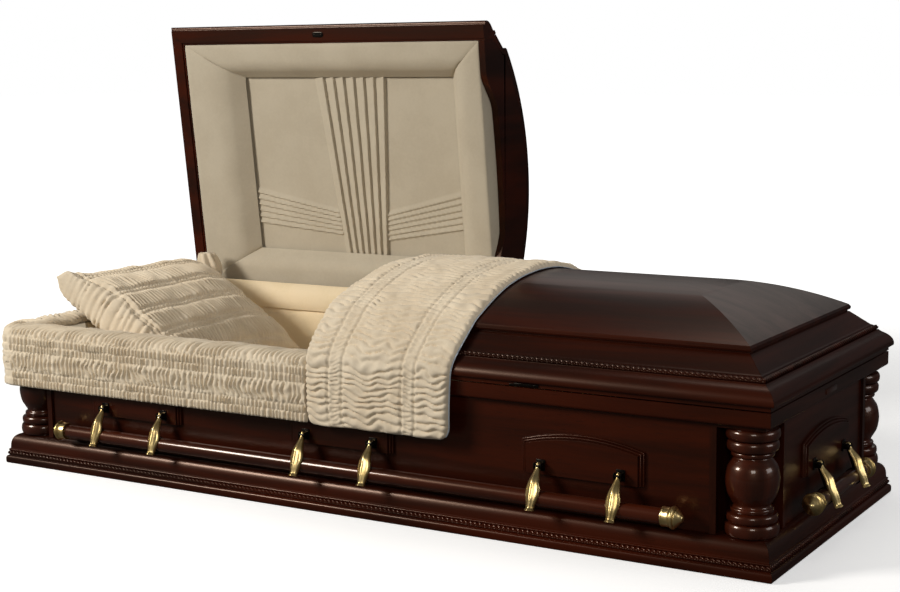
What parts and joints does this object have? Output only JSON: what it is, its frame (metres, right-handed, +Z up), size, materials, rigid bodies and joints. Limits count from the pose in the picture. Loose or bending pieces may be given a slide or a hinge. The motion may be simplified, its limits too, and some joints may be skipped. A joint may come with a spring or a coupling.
{
  "type": "funeral casket",
  "caption": "Half-couch wooden casket with turned corner columns, rope mouldings, swing-bar handles and a velvet interior, head lid open.",
  "frame": {"origin": "centre of the underside, on the floor", "axes": "+X towards the foot end, -Y to the front where the lids open, +Z up"},
  "size_m": [2.189, 0.9813, 1.1359],
  "materials": {
    "wood": "polished dark mahogany stain",
    "brass": "antique gold plate, satin",
    "velvet": "cream velvet",
    "crepe": "ivory crepe, shirred",
    "dark_metal": "dark bronze, satin"
  },
  "bodies": {
    "case": {"bottom_board": "wood", "base_moulding_front": "wood", "base_moulding_back": "wood", "base_moulding_head": "wood", "base_moulding_foot": "wood", "base_rope": "wood", "wall_front": "wood", "wall_back": "wood", "wall_head": "wood", "wall_foot": "wood", "top_rail_front": "wood", "top_rail_back": "wood", "top_rail_head": "wood", "top_rail_foot": "wood", "corner_post_head_front": "wood", "corner_post_foot_front": "wood", "corner_post_foot_back": "wood", "corner_post_head_back": "wood", "corner_column_head_front": "wood", "corner_column_foot_front": "wood", "corner_column_foot_back": "wood", "corner_column_head_back": "wood", "arched_panel_front_1": "wood", "arched_panel_front_2": "wood", "arched_panel_front_3": "wood", "arched_panel_back_1": "wood", "arched_panel_back_2": "wood", "arched_panel_back_3": "wood", "arched_panel_foot": "wood", "arched_panel_head": "wood", "case_hinge": "dark_metal", "lining_head": "crepe", "lining_foot": "crepe", "mattress": "crepe", "pillow": "velvet", "extension": "velvet"},
    "head_lid": {"head_lid_rail_front": "wood", "head_lid_rail_back": "wood", "head_lid_rail_end": "wood", "head_lid_crown": "wood", "head_lid_rope": "wood", "head_lid_header": "wood", "head_lid_hinge": "dark_metal", "lid_border": "crepe", "lid_cap_panel": "crepe", "latch_keeper": "brass"},
    "foot_lid": {"foot_lid_rail_front": "wood", "foot_lid_rail_back": "wood", "foot_lid_rail_end": "wood", "foot_lid_crown": "wood", "foot_lid_rope": "wood", "foot_lid_header": "wood", "foot_lid_hinge": "dark_metal", "foot_lid_lining": "crepe", "latch_catch": "dark_metal", "throw": "velvet"},
    "handle_front": {"handle_front": "brass"},
    "handle_back": {"handle_back": "brass"},
    "handle_foot": {"handle_foot": "brass"},
    "handle_head": {"handle_head": "brass"}
  },
  "joints": [
    {"name": "head_lid_hinge", "type": "hinge", "parent": "case", "child": "head_lid", "pos_m": [0, 0.3945, 0.34625], "axis": [1, 0, 0], "range_deg": [0, 84], "deforming": ["extension", "pillow", "throw"]},
    {"name": "foot_lid_hinge", "type": "hinge", "parent": "case", "child": "foot_lid", "pos_m": [0, 0.3945, 0.34625], "axis": [-1, 0, 0], "range_deg": [0, 84], "deforming": ["throw"]},
    {"name": "handle_front_swing", "type": "hinge", "parent": "case", "child": "handle_front", "pos_m": [0, -0.391, 0.178], "axis": [-1, 0, 0], "range_deg": [0, 70]},
    {"name": "handle_back_swing", "type": "hinge", "parent": "case", "child": "handle_back", "pos_m": [0, 0.391, 0.178], "axis": [1, 0, 0], "range_deg": [0, 70]},
    {"name": "handle_foot_swing", "type": "hinge", "parent": "case", "child": "handle_foot", "pos_m": [1.056, 0, 0.178], "axis": [0, -1, 0], "range_deg": [0, 70]},
    {"name": "handle_head_swing", "type": "hinge", "parent": "case", "child": "handle_head", "pos_m": [-1.056, 0, 0.178], "axis": [0, 1, 0], "range_deg": [0, 70]}
  ]
}
